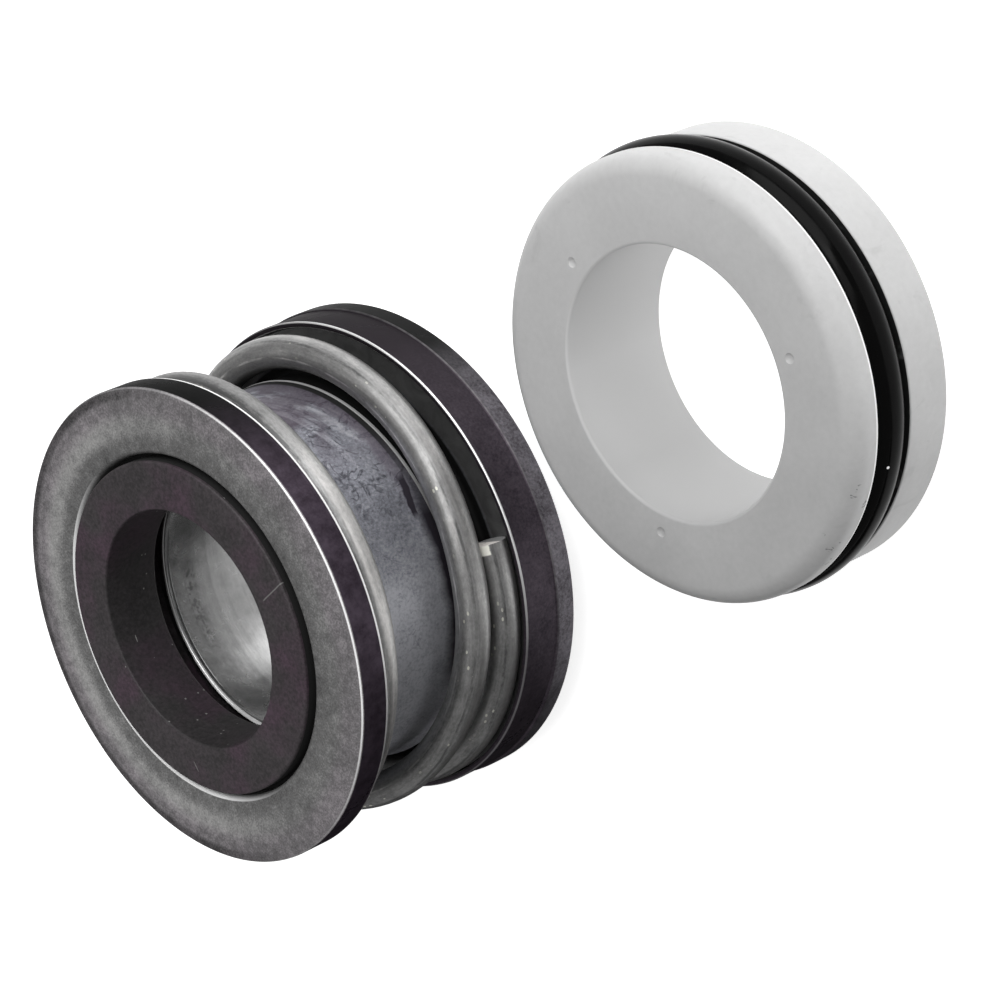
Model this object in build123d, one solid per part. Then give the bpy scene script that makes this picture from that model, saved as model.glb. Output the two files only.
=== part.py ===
"""Component mechanical seal for a pump shaft of 5/8 in (15.875 mm).

Two halves lie side by side on one surface, as a new seal does on the bench:
the rotary head stands on its carbon nose with its rubber tail upwards, and
the ceramic seat lies flat with its O-ring, face up.

Millimetres, +Z up. The origin is on the head's axis, in the plane of the
carbon's sealing face, which is also the surface that both halves rest on.
+X runs from the head's axis to the seat's.
"""
import os
from math import cos, pi, radians, sin

from build123d import *

# Shaft and the bores it passes through
SHAFT_DIAMETER = 15.875
TAIL_GRIP = 0.375            # the free rubber bore is this much under the shaft
CARBON_CLEARANCE = 0.725     # on the diameter
SEAT_CLEARANCE = 0.425       # on the diameter

# Head: heights of the stations along its axis
HEAD_HEIGHT = 20.2           # carbon face to the spring holder's front face
NOSE_LENGTH = 2.25           # carbon standing out of the retainer cup
CUP_DEPTH = 4.2              # the retainer cup's outside, base to rim
CARBON_HEIGHT = 4.3

# Retainer cup, deep drawn
CUP_OVERSIZE = 0.35          # base band beyond the spring holder's outside
CUP_BAND_STEP = 0.13         # the rim band is this much smaller than the base band
CUP_BAND_HEIGHT = 1.5        # height of the base band
CUP_WALL = 0.4
CUP_CORNER = 0.35
NOSE_GAP = 0.3               # running gap between the cup's hole and the carbon

# Carbon ring
NOSE_WIDTH = 3.8             # nose outside, from the carbon's bore
NOSE_CHAMFER = 0.4
CARBON_FIT = 0.15            # carbon's shoulder inside the cup wall

# Drive band, the drum inside the spring
DRUM_COIL_GAP = 0.62         # drum to the inside of the front turn
DRUM_SHOULDER_STEP = 0.35    # foot of the taper beyond the drum
DRUM_WALL = 0.5
DRUM_TOP_GAP = 2.9           # drum's top below the holder's lip
DRUM_TAPER_RISE = 1.4
DRUM_FOOT_RISE = 3.1         # foot of the taper above the flange
DRUM_EDGE = 0.16             # lip at the foot of the taper
BAND_FLANGE_FIT = 0.1        # flange inside the cup wall

# Spring
WIRE_DIAMETER = 2.15
SPRING_SIDE_GAP = 0.06       # coil outside to the holder's wall inside
CLOSED_GAP = 0.04            # between the closed end turn and its neighbour
SEATED_GAP = 0.02            # under the seated turn
SPRING_TURNS = 2.78
CUT_ANGLE = -12.7            # where the cup-end turn is cut off, from +X
CUP_LEAD = [                 # (turn, rise over the seated turn)
    (-1.0, 0.0),
    (0.55, 0.0),
    (0.83, 1.15),
    (0.93, 1.5),
    (0.98, WIRE_DIAMETER + CLOSED_GAP),
    (1.06, 2.5),
    (1.17, 3.8),
]
TAIL_LEAD = [                # (turn, drop still to go to the turn in the holder)
    (1.85, 1.85),
    (2.0, 1.5),
    (2.083, 1.15),
    (2.2, 0.55),
    (2.38, 0.0),
    (4.0, 0.0),
]
COIL_EASE_START = 1.95       # the coil narrows into the holder between these turns
COIL_EASE_END = 2.3
STATIONS_PER_TURN = 16
LEAD_SMOOTHING = 0.05        # turns to each side over which the lead is averaged

# Spring holder, the front stamping
HOLDER_FACE_WIDTH = 4.3
HOLDER_WALL = 0.42
HOLDER_FACE = 0.5
HOLDER_DEPTH = 2.2           # front face to the wall's free edge
HOLDER_LIP_DEPTH = 1.4       # front face to the drawn-in lip's end
HOLDER_DISH = 0.2            # the face falls this much from its crown to the hole
HOLDER_CORNER = 0.42
HOLDER_CROWN_PLACE = 0.62    # crown of the face, from the hole to the wall

# Bellows, one rubber moulding from the tail to the carbon
TAIL_WIDTH = 3.13            # tail ring, from its bore to its outside
TAIL_PROUD = 0.2             # tail face above the spring holder's face
TAIL_FACE_GAP = 0.32         # open ring between the tail and the holder's lip
TAIL_BORE_LENGTH = 4.1
TAIL_LIP_STEP = 0.9          # hollow behind the tail's bore
TAIL_SHOULDER_THICKNESS = 0.9
CONVOLUTION_GAP = 0.55       # bellows wall to the sleeve
CONVOLUTION_WALL = 0.85
CONVOLUTION_BULGE = 0.35
BELLOWS_HEAD_THICKNESS = 1.1
BELLOWS_HEAD_FIT = 0.25      # rubber head inside the cup wall

# Sleeve that lines the bellows
SLEEVE_STEP = 1.35           # sleeve's inside behind the tail's bore
SLEEVE_WALL = 0.5
SLEEVE_LIP = 0.22            # its rolled front edge stands in by this
SLEEVE_TAIL_GAP = 1.55
SLEEVE_FLANGE_WIDTH = 2.2

# Seat
SEAT_OFFSET = 35.6
SEAT_WIDTH = 5.15            # seat outside, from its bore
SEAT_THICKNESS = 8.0
SEAT_FLANGE_THICKNESS = 1.9
SEAT_FLANGE_ROUND = 1.25
SEAT_BASE_ROUND = 0.35
SEAT_BORE_ROUND = 0.22
SEAT_GROOVE_DEPTH = 2.3
SEAT_GROOVE_SPARE = 0.16     # groove width over the O-ring's section
ORING_SECTION = 2.6
DIMPLE_COUNT = 3
DIMPLE_RADIUS = 0.32
DIMPLE_DEPTH = 0.14
DIMPLE_INSET = 1.25          # dimples' circle outside the bore
DIMPLE_ANGLE = -10.5

# Values worked out from the sizes above
TAIL_BORE_RADIUS = (SHAFT_DIAMETER - TAIL_GRIP) / 2
TAIL_OUTSIDE = TAIL_BORE_RADIUS + TAIL_WIDTH
CARBON_BORE_RADIUS = (SHAFT_DIAMETER + CARBON_CLEARANCE) / 2
NOSE_RADIUS = CARBON_BORE_RADIUS + NOSE_WIDTH
HOLDER_HOLE_RADIUS = TAIL_OUTSIDE + TAIL_FACE_GAP
HOLDER_RADIUS = HOLDER_HOLE_RADIUS + HOLDER_FACE_WIDTH
CUP_RADIUS = HOLDER_RADIUS + CUP_OVERSIZE
SEAT_BORE_RADIUS = (SHAFT_DIAMETER + SEAT_CLEARANCE) / 2
SEAT_RADIUS = SEAT_BORE_RADIUS + SEAT_WIDTH
CUP_RIM_RADIUS = CUP_RADIUS - CUP_BAND_STEP
CUP_INSIDE = CUP_RIM_RADIUS - CUP_WALL
CUP_BASE = NOSE_LENGTH
CUP_FLOOR = CUP_BASE + CUP_WALL
CUP_RIM = CUP_BASE + CUP_DEPTH
CARBON_TOP = CARBON_HEIGHT
SLEEVE_FLANGE_TOP = CARBON_TOP + SLEEVE_WALL
BELLOWS_HEAD_TOP = CARBON_TOP + BELLOWS_HEAD_THICKNESS
SPRING_SEAT_LOW = BELLOWS_HEAD_TOP + DRUM_WALL
SPRING_SEAT_HIGH = HEAD_HEIGHT - HOLDER_FACE
WIRE_RADIUS = WIRE_DIAMETER / 2
FRONT_COIL_RADIUS = HOLDER_RADIUS - HOLDER_WALL - SPRING_SIDE_GAP - WIRE_RADIUS
COIL_RADIUS = CUP_INSIDE - SPRING_SIDE_GAP - WIRE_RADIUS
HOLDER_LIP_END = HEAD_HEIGHT - HOLDER_LIP_DEPTH
TAIL_FACE = HEAD_HEIGHT + TAIL_PROUD
TAIL_END = TAIL_FACE - TAIL_BORE_LENGTH
TAIL_LIP_RADIUS = TAIL_BORE_RADIUS + TAIL_LIP_STEP
SLEEVE_INNER = TAIL_BORE_RADIUS + SLEEVE_STEP
SLEEVE_OUTSIDE = SLEEVE_INNER + SLEEVE_WALL
SLEEVE_LIP_INNER = SLEEVE_INNER - SLEEVE_LIP
SLEEVE_TOP = TAIL_END - SLEEVE_TAIL_GAP
SLEEVE_FLANGE_RADIUS = SLEEVE_INNER + SLEEVE_FLANGE_WIDTH
CONVOLUTION_INNER = SLEEVE_OUTSIDE + CONVOLUTION_GAP
DRUM_RADIUS = FRONT_COIL_RADIUS - WIRE_RADIUS - DRUM_COIL_GAP
DRUM_SHOULDER_RADIUS = DRUM_RADIUS + DRUM_SHOULDER_STEP
DRUM_TAPER_BASE = SPRING_SEAT_LOW + DRUM_FOOT_RISE
DRUM_TAPER_TOP = DRUM_TAPER_BASE + DRUM_TAPER_RISE
DRUM_TOP = HOLDER_LIP_END - DRUM_TOP_GAP
GROOVE_RADIUS = SEAT_RADIUS - SEAT_GROOVE_DEPTH
GROOVE_TOP = SEAT_THICKNESS - SEAT_FLANGE_THICKNESS
GROOVE_WIDTH = ORING_SECTION + SEAT_GROOVE_SPARE
ORING_CENTRE_RADIUS = GROOVE_RADIUS + ORING_SECTION / 2


def half_section(outline, rounds=None):
    """Flat half section from (radius, height) points; rounds maps a point's place in the list to a radius."""
    section = make_face(Polyline(*outline, close=True))
    for place, radius in (rounds or {}).items():
        corner = section.vertices().sort_by_distance(outline[place])[0]
        section = fillet(corner, radius)
    return section


def turned(section):
    """Solid of revolution about the head's axis from a half section."""
    return revolve(Plane.XZ * section, Axis.Z)


def spring_holder():
    """Front stamping: a shallow channel whose inner lip is drawn in round the rubber tail."""
    inner_top = HEAD_HEIGHT - HOLDER_DISH
    crown = HOLDER_HOLE_RADIUS + HOLDER_CROWN_PLACE * (HOLDER_RADIUS - HOLDER_HOLE_RADIUS)
    wall_inside = HOLDER_RADIUS - HOLDER_WALL
    lip_outside = HOLDER_HOLE_RADIUS + HOLDER_WALL
    free_edge = HEAD_HEIGHT - HOLDER_DEPTH
    front = ThreePointArc(
        (HOLDER_HOLE_RADIUS, inner_top), (crown, HEAD_HEIGHT), (HOLDER_RADIUS, HEAD_HEIGHT - HOLDER_DISH / 3)
    )
    rest = Polyline(
        (HOLDER_RADIUS, HEAD_HEIGHT - HOLDER_DISH / 3),
        (HOLDER_RADIUS, free_edge),
        (wall_inside, free_edge),
        (wall_inside, SPRING_SEAT_HIGH),
        (lip_outside, SPRING_SEAT_HIGH),
        (lip_outside, HOLDER_LIP_END),
        (HOLDER_HOLE_RADIUS, HOLDER_LIP_END),
        (HOLDER_HOLE_RADIUS, inner_top),
    )
    section = make_face([front, rest])
    corners = {
        (HOLDER_HOLE_RADIUS, inner_top): HOLDER_WALL * 0.8,
        (HOLDER_RADIUS, HEAD_HEIGHT - HOLDER_DISH / 3): HOLDER_CORNER,
        (HOLDER_RADIUS, free_edge): HOLDER_WALL / 4,
    }
    for place, radius in corners.items():
        section = fillet(section.vertices().sort_by_distance(place)[0], radius)
    return turned(section)


def bellows():
    """One rubber moulding: tail ring that grips the shaft, rolled wall and the head on the carbon's back."""
    shoulder = HOLDER_HOLE_RADIUS + HOLDER_WALL
    shoulder_base = HOLDER_LIP_END - TAIL_SHOULDER_THICKNESS
    wall_outer = CONVOLUTION_INNER + CONVOLUTION_WALL
    middle = (shoulder_base + BELLOWS_HEAD_TOP) / 2
    head_outside = CUP_INSIDE - BELLOWS_HEAD_FIT
    inner_wall = ThreePointArc(
        (CONVOLUTION_INNER, shoulder_base),
        (CONVOLUTION_INNER - CONVOLUTION_BULGE, middle),
        (CONVOLUTION_INNER, BELLOWS_HEAD_TOP),
    )
    outer_wall = ThreePointArc(
        (wall_outer, BELLOWS_HEAD_TOP),
        (wall_outer - CONVOLUTION_BULGE, middle),
        (wall_outer, shoulder_base),
    )
    tail = Polyline(
        (wall_outer, shoulder_base),
        (shoulder, shoulder_base),
        (shoulder, HOLDER_LIP_END),
        (TAIL_OUTSIDE, HOLDER_LIP_END),
        (TAIL_OUTSIDE, TAIL_FACE),
        (TAIL_BORE_RADIUS, TAIL_FACE),
        (TAIL_BORE_RADIUS, TAIL_END),
        (TAIL_LIP_RADIUS, TAIL_END),
        (TAIL_LIP_RADIUS, shoulder_base),
        (CONVOLUTION_INNER, shoulder_base),
    )
    head = Polyline(
        (CONVOLUTION_INNER, BELLOWS_HEAD_TOP),
        (SLEEVE_OUTSIDE, BELLOWS_HEAD_TOP),
        (SLEEVE_OUTSIDE, SLEEVE_FLANGE_TOP),
        (SLEEVE_FLANGE_RADIUS, SLEEVE_FLANGE_TOP),
        (SLEEVE_FLANGE_RADIUS, CARBON_TOP),
        (head_outside, CARBON_TOP),
        (head_outside, BELLOWS_HEAD_TOP),
        (wall_outer, BELLOWS_HEAD_TOP),
    )
    section = make_face([inner_wall, head, outer_wall, tail])
    corners = {
        (TAIL_OUTSIDE, TAIL_FACE): 0.3,
        (TAIL_BORE_RADIUS, TAIL_FACE): 0.12,
        (TAIL_BORE_RADIUS, TAIL_END): 0.2,
        (TAIL_LIP_RADIUS, TAIL_END): 0.2,
    }
    for place, radius in corners.items():
        section = fillet(section.vertices().sort_by_distance(place)[0], radius)
    return turned(section)


def inner_sleeve():
    """Bright sleeve inside the bellows: rolled front edge, straight wall, foot flange on the carbon."""
    outline = [
        (SLEEVE_INNER, CARBON_TOP),
        (SLEEVE_FLANGE_RADIUS, CARBON_TOP),
        (SLEEVE_FLANGE_RADIUS, SLEEVE_FLANGE_TOP),
        (SLEEVE_OUTSIDE, SLEEVE_FLANGE_TOP),
        (SLEEVE_OUTSIDE, SLEEVE_TOP),
        (SLEEVE_LIP_INNER, SLEEVE_TOP),
        (SLEEVE_LIP_INNER, SLEEVE_TOP - 2 * SLEEVE_LIP),
        (SLEEVE_INNER, SLEEVE_TOP - 3 * SLEEVE_LIP),
    ]
    return turned(half_section(outline, {4: SLEEVE_WALL / 2, 5: SLEEVE_LIP}))


def drive_band():
    """Drawn band: the drum inside the coil, its tapered foot with a lip, and the flange the spring sits on."""
    flange_radius = CUP_INSIDE - BAND_FLANGE_FIT
    drum_inside = DRUM_RADIUS - DRUM_WALL
    foot_inside = DRUM_SHOULDER_RADIUS - DRUM_WALL
    outline = [
        (foot_inside, BELLOWS_HEAD_TOP),
        (flange_radius, BELLOWS_HEAD_TOP),
        (flange_radius, SPRING_SEAT_LOW),
        (DRUM_SHOULDER_RADIUS - DRUM_EDGE, SPRING_SEAT_LOW),
        (DRUM_SHOULDER_RADIUS - DRUM_EDGE, DRUM_TAPER_BASE - DRUM_EDGE),
        (DRUM_SHOULDER_RADIUS, DRUM_TAPER_BASE - DRUM_EDGE),
        (DRUM_SHOULDER_RADIUS, DRUM_TAPER_BASE),
        (DRUM_RADIUS, DRUM_TAPER_TOP),
        (DRUM_RADIUS, DRUM_TOP),
        (drum_inside, DRUM_TOP),
        (drum_inside, DRUM_TAPER_TOP),
        (foot_inside, DRUM_TAPER_BASE),
    ]
    return turned(half_section(outline, {7: 1.2, 8: DRUM_WALL * 0.6, 9: DRUM_WALL / 4}))


def retainer_cup():
    """Deep drawn cup: base band, rim band one step smaller, and the base flange that holds the carbon."""
    hole = NOSE_RADIUS + NOSE_GAP
    step = CUP_BASE + CUP_BAND_HEIGHT
    outline = [
        (hole, CUP_BASE),
        (CUP_RADIUS, CUP_BASE),
        (CUP_RADIUS, step),
        (CUP_RIM_RADIUS, step + CUP_BAND_STEP),
        (CUP_RIM_RADIUS, CUP_RIM),
        (CUP_INSIDE, CUP_RIM),
        (CUP_INSIDE, CUP_FLOOR),
        (hole, CUP_FLOOR),
    ]
    return turned(half_section(outline, {1: CUP_CORNER, 4: CUP_WALL / 4, 5: CUP_WALL / 4, 7: CUP_WALL / 4}))


def carbon_ring():
    """Primary ring: a nose with a lapped face, and a shoulder held in the cup."""
    shoulder = CUP_INSIDE - CARBON_FIT
    outline = [
        (CARBON_BORE_RADIUS, 0),
        (NOSE_RADIUS - NOSE_CHAMFER, 0),
        (NOSE_RADIUS, NOSE_CHAMFER),
        (NOSE_RADIUS, CUP_FLOOR),
        (shoulder, CUP_FLOOR),
        (shoulder, CARBON_TOP),
        (CARBON_BORE_RADIUS, CARBON_TOP),
    ]
    return turned(half_section(outline))


def lead_height(turn):
    """Height of the wire's centre after this many turns from the cut end, before smoothing."""
    low = SPRING_SEAT_LOW + SEATED_GAP + WIRE_RADIUS
    high = SPRING_SEAT_HIGH - WIRE_RADIUS
    stations = [(place, low + rise) for place, rise in CUP_LEAD]
    stations += [(place, high - drop) for place, drop in TAIL_LEAD]
    for (turn_a, height_a), (turn_b, height_b) in zip(stations, stations[1:]):
        if turn <= turn_b:
            return height_a + (height_b - height_a) * (turn - turn_a) / (turn_b - turn_a)
    return high


def coil_radius(turn):
    """Radius of the wire's centre line: full in the cup, easing in to pass inside the holder's wall."""
    share = (turn - COIL_EASE_START) / (COIL_EASE_END - COIL_EASE_START)
    share = min(max(share, 0.0), 1.0)
    ease = share * share * (3 - 2 * share)
    return COIL_RADIUS + (FRONT_COIL_RADIUS - COIL_RADIUS) * ease


def coil_point(turn):
    """Point on the wire's centre line; the coil is left-handed."""
    samples = [lead_height(turn + LEAD_SMOOTHING * k / 2) for k in range(-2, 3)]
    angle = radians(CUT_ANGLE) - 2 * pi * turn
    radius = coil_radius(turn)
    return (radius * cos(angle), radius * sin(angle), sum(samples) / len(samples))


def spring():
    """Compression spring with closed ends, both cut off square to the wire."""
    count = round(SPRING_TURNS * STATIONS_PER_TURN)
    path = Spline(*[coil_point(SPRING_TURNS * k / count) for k in range(count + 1)])
    start = Plane(origin=path @ 0, z_dir=path % 0)
    return sweep(start * Circle(WIRE_RADIUS), path=path)


def seat_ring():
    """Ceramic seat: rounded front flange, O-ring groove, land behind it, and three ejector dimples."""
    groove_base = GROOVE_TOP - GROOVE_WIDTH
    outline = [
        (SEAT_BORE_RADIUS, 0),
        (SEAT_RADIUS, 0),
        (SEAT_RADIUS, groove_base),
        (GROOVE_RADIUS, groove_base),
        (GROOVE_RADIUS, GROOVE_TOP),
        (SEAT_RADIUS, GROOVE_TOP),
        (SEAT_RADIUS, SEAT_THICKNESS),
        (SEAT_BORE_RADIUS, SEAT_THICKNESS),
    ]
    rounds = {
        0: SEAT_BORE_ROUND,
        1: SEAT_BASE_ROUND,
        2: 0.2,
        5: 0.12,
        6: SEAT_FLANGE_ROUND,
        7: SEAT_BORE_ROUND,
    }
    ring = turned(half_section(outline, rounds))
    dimple_circle = SEAT_BORE_RADIUS + DIMPLE_INSET
    ball = (DIMPLE_RADIUS**2 + DIMPLE_DEPTH**2) / (2 * DIMPLE_DEPTH)
    for k in range(DIMPLE_COUNT):
        angle = radians(DIMPLE_ANGLE + 360 * k / DIMPLE_COUNT)
        place = (dimple_circle * cos(angle), dimple_circle * sin(angle), SEAT_THICKNESS + ball - DIMPLE_DEPTH)
        ring -= Pos(*place) * Sphere(ball)
    return Pos(SEAT_OFFSET, 0, 0) * ring


def seat_oring():
    """O-ring stretched into the seat's groove."""
    height = GROOVE_TOP - GROOVE_WIDTH / 2
    return Pos(SEAT_OFFSET, 0, height) * Torus(ORING_CENTRE_RADIUS, ORING_SECTION / 2)


PIECES = {
    "spring_holder": spring_holder,
    "bellows": bellows,
    "inner_sleeve": inner_sleeve,
    "drive_band": drive_band,
    "spring": spring,
    "retainer_cup": retainer_cup,
    "carbon_ring": carbon_ring,
    "seat_ring": seat_ring,
    "seat_oring": seat_oring,
}

os.makedirs("parts", exist_ok=True)
for name, make in PIECES.items():
    export_step(make(), f"parts/{name}.step")
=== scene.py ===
# %% [markdown]
# # A mechanical shaft seal, modelled and finished in Blender
# The object is a pump shaft seal in two halves. The rotary head stands on its carbon nose: a sprung stack
# of drawn steel, rubber and carbon, almost all of it turned about one axis. The ceramic seat with its
# O-ring lies beside it. The lesson is therefore about rings: how to turn them, where to round them, and how
# to make rings of the same grey look like pressed steel, rubber, drawn wire and ceramic.
#
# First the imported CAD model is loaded. It fixes where everything is, so nothing below moves a CAD node.

# %% Load the frame
from math import atan2, cos, hypot, pi, radians, sin

import bmesh
import bpy
from mathutils import Matrix, Vector


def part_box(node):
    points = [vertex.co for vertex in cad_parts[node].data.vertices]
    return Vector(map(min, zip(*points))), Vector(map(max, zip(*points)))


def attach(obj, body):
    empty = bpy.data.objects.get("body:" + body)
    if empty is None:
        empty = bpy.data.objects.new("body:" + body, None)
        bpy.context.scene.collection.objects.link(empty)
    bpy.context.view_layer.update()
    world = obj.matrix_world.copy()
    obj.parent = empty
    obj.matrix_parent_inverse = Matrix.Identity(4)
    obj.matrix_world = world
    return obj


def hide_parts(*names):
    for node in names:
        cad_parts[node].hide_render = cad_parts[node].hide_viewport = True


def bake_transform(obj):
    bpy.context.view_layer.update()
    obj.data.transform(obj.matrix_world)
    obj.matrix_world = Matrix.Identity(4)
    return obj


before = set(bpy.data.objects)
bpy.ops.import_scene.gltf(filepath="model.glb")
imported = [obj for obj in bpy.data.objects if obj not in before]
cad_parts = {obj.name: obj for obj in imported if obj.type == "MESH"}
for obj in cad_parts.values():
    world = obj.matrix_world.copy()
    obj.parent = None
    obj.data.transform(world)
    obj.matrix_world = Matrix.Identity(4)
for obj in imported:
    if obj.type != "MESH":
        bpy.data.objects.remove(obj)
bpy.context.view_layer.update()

print("nodes", sorted(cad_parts))

# %% [markdown]
# The sizes are the ones of the engineering model, in millimetres. Blender works in metres, so MM turns one
# into the other. A ring of 31 mm is 500 pixels wide in the picture, and 256 steps keep its outline round.

# %% Sizes that several pieces share
MM = 0.001
ROUND_STEPS = 256
HEAD_AXIS = (0.0, 0.0)
SEAT_AXIS = (35.6, 0.0)
CARBON_TOP = 4.3
HEAD_TOP = 5.4
SPRING_LOW = 5.9
HOLDER_FRONT = 20.2
HOLDER_LIP_END = 18.8
CUP_INSIDE = 15.32

# %% [markdown]
# Blender's operators act on whatever is selected, and loading the model leaves its nodes selected. So each
# piece begins by going back to object mode with nothing selected.


# %% Start from nothing selected
def clear_selection():
    if bpy.context.object and bpy.context.object.mode != "OBJECT":
        bpy.ops.object.mode_set(mode="OBJECT")
    bpy.ops.object.select_all(action="DESELECT")


def edit(piece):
    clear_selection()
    bpy.context.view_layer.objects.active = piece
    piece.select_set(True)
    bpy.ops.object.mode_set(mode="EDIT")


# %% [markdown]
# A turned ring could be made with the Screw modifier or with Spin. Here it is made as a lathe hand would
# think of it: one circle of points, extruded to the next diameter and height of the profile again and
# again until it meets itself. Each step is an extrude and a resize about the axis, and the first and the
# last loop are merged. Normals are recalculated at the end, because a closed ring has a clear outside.


# %% Turn a ring from its profile
def turned_ring(name, outline, axis=HEAD_AXIS, steps=ROUND_STEPS):
    clear_selection()
    centre = (axis[0] * MM, axis[1] * MM)
    radius, height = outline[0]
    bpy.ops.mesh.primitive_circle_add(vertices=steps, radius=radius * MM, location=(*centre, height * MM))
    piece = bpy.context.object
    piece.name = name
    bpy.ops.object.mode_set(mode="EDIT")
    bpy.ops.mesh.select_all(action="SELECT")
    for (r_from, z_from), (r_to, z_to) in zip(outline, outline[1:] + outline[:1]):
        bpy.ops.mesh.extrude_region_move(TRANSFORM_OT_translate={"value": (0, 0, (z_to - z_from) * MM)})
        bpy.ops.transform.resize(
            value=(r_to / r_from, r_to / r_from, 1), center_override=(*centre, z_to * MM)
        )
    bpy.ops.mesh.select_all(action="SELECT")
    bpy.ops.mesh.remove_doubles(threshold=0.002 * MM)
    bpy.ops.mesh.normals_make_consistent(inside=False)
    bpy.ops.object.mode_set(mode="OBJECT")
    bpy.ops.object.transform_apply(location=True, rotation=False, scale=False)
    return piece


# %% [markdown]
# Pressed steel has no sharp corner, and a rounded corner is what catches the light. A corner of a ring is a
# loop of edges at one radius and one height, so the loop is picked by that place and bevelled.


# %% Round one corner loop
def round_corner(piece, place, size, segments=5, axis=HEAD_AXIS):
    edit(piece)
    bpy.ops.mesh.select_mode(type="EDGE")
    bpy.ops.mesh.select_all(action="DESELECT")
    mesh = bmesh.from_edit_mesh(piece.data)
    picked = 0
    for edge in mesh.edges:
        near = all(
            abs(hypot(v.co.x / MM - axis[0], v.co.y / MM - axis[1]) - place[0]) < 0.004
            and abs(v.co.z / MM - place[1]) < 0.004
            for v in edge.verts
        )
        edge.select = near
        picked += near
    bmesh.update_edit_mesh(piece.data)
    bpy.ops.mesh.bevel(offset=size * MM, offset_type="OFFSET", segments=segments, affect="EDGES")
    bpy.ops.object.mode_set(mode="OBJECT")
    return picked


def smooth(piece, angle=32):
    clear_selection()
    bpy.context.view_layer.objects.active = piece
    piece.select_set(True)
    bpy.ops.object.shade_smooth_by_angle(angle=radians(angle))
    print(piece.name, len(piece.data.polygons), "faces")


# %% [markdown]
# A crowned or hollow stretch of a profile is an arc through three points. The helper gives points along it.


# %% Points along an arc through three points
def arc_points(start, middle, end, count):
    (ax, ay), (bx, by), (cx, cy) = start, middle, end
    d = 2 * (ax * (by - cy) + bx * (cy - ay) + cx * (ay - by))
    a2, b2, c2 = ax * ax + ay * ay, bx * bx + by * by, cx * cx + cy * cy
    ox = (a2 * (by - cy) + b2 * (cy - ay) + c2 * (ay - by)) / d
    oy = (a2 * (cx - bx) + b2 * (ax - cx) + c2 * (bx - ax)) / d
    radius = hypot(ax - ox, ay - oy)
    first = atan2(ay - oy, ax - ox)
    turn = atan2(cy - oy, cx - ox) - first
    turn = (turn + pi) % (2 * pi) - pi
    return [
        (ox + radius * cos(first + turn * k / count), oy + radius * sin(first + turn * k / count))
        for k in range(count + 1)
    ]


# %% [markdown]
# ## The spring holder
# The front stamping: a shallow channel of 0.45 mm steel whose face is gently crowned, with a lip drawn in
# round the rubber tail and a wall that comes back over the first turn of the spring. Crown, lip and wall
# are one profile. Its outer corner is tight and its inner corner wide, as a draw die leaves them.

# %% Spring holder
HOLE = 11.2
OUTSIDE = 15.5
face = arc_points((HOLE, 20.0), (13.87, HOLDER_FRONT), (OUTSIDE, 20.13), 14)
holder = turned_ring(
    "spring_holder_pressing",
    face + [(OUTSIDE, 18.0), (15.08, 18.0), (15.08, 19.7), (11.62, 19.7), (11.62, HOLDER_LIP_END), (HOLE, HOLDER_LIP_END)],
)
round_corner(holder, (HOLE, 20.0), 0.3)
round_corner(holder, (OUTSIDE, 20.13), 0.16, 5)
round_corner(holder, (OUTSIDE, 18.0), 0.12, 3)
round_corner(holder, (15.08, 18.0), 0.12, 3)
round_corner(holder, (11.62, 19.7), 0.2, 3)
smooth(holder)

# %% [markdown]
# ## The rubber bellows
# One moulding: the tail ring that grips the shaft, a thin rolled wall, and a flat head on the carbon. Only
# the tail is seen, so its edges get the small radii of a moulding tool, and the wall is turned with many loops.

# %% Bellows
TAIL_FACE = 20.4
TAIL_SIDE = 10.88
TAIL_BORE = 7.75
TAIL_END = 16.3
SHOULDER = 17.9
inner_wall = arc_points((10.15, SHOULDER), (9.8, 11.65), (10.15, HEAD_TOP), 24)
outer_wall = arc_points((11.0, HEAD_TOP), (10.65, 11.65), (11.0, SHOULDER), 24)
bellows = turned_ring(
    "rubber_bellows",
    inner_wall
    + [(9.6, HEAD_TOP), (9.6, 4.8), (11.3, 4.8), (11.3, CARBON_TOP), (15.07, CARBON_TOP), (15.07, HEAD_TOP)]
    + outer_wall
    + [(11.62, SHOULDER), (11.62, HOLDER_LIP_END), (TAIL_SIDE, HOLDER_LIP_END), (TAIL_SIDE, TAIL_FACE)]
    + [(TAIL_BORE, TAIL_FACE), (TAIL_BORE, TAIL_END), (8.65, TAIL_END), (8.65, SHOULDER)],
)
round_corner(bellows, (TAIL_SIDE, TAIL_FACE), 0.16, 5)
round_corner(bellows, (TAIL_BORE, TAIL_FACE), 0.14, 4)
round_corner(bellows, (TAIL_BORE, TAIL_END), 0.2, 4)
round_corner(bellows, (8.65, TAIL_END), 0.2, 4)
smooth(bellows)

# %% [markdown]
# ## The inner sleeve
# A bright thin sleeve lines the rubber. It is seen through the bore: a rolled front edge, a straight wall
# and a foot flange on the carbon. The rolled edge gets many segments, because its highlight is a clean line.

# %% Inner sleeve
SLEEVE_EDGE = 14.75
sleeve = turned_ring(
    "bright_inner_sleeve",
    [(9.1, CARBON_TOP), (11.3, CARBON_TOP), (11.3, 4.8), (9.6, 4.8), (9.6, SLEEVE_EDGE)]
    + [(8.88, SLEEVE_EDGE), (8.88, SLEEVE_EDGE - 0.44), (9.1, SLEEVE_EDGE - 0.66)],
)
round_corner(sleeve, (9.6, SLEEVE_EDGE), 0.25, 5)
round_corner(sleeve, (8.88, SLEEVE_EDGE), 0.2, 5)
smooth(sleeve)

# %% [markdown]
# ## The drive band
# The drum inside the coil. It narrows over a tapered foot that ends in a small lip, and then runs out into
# the flange that the spring sits on.

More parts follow.
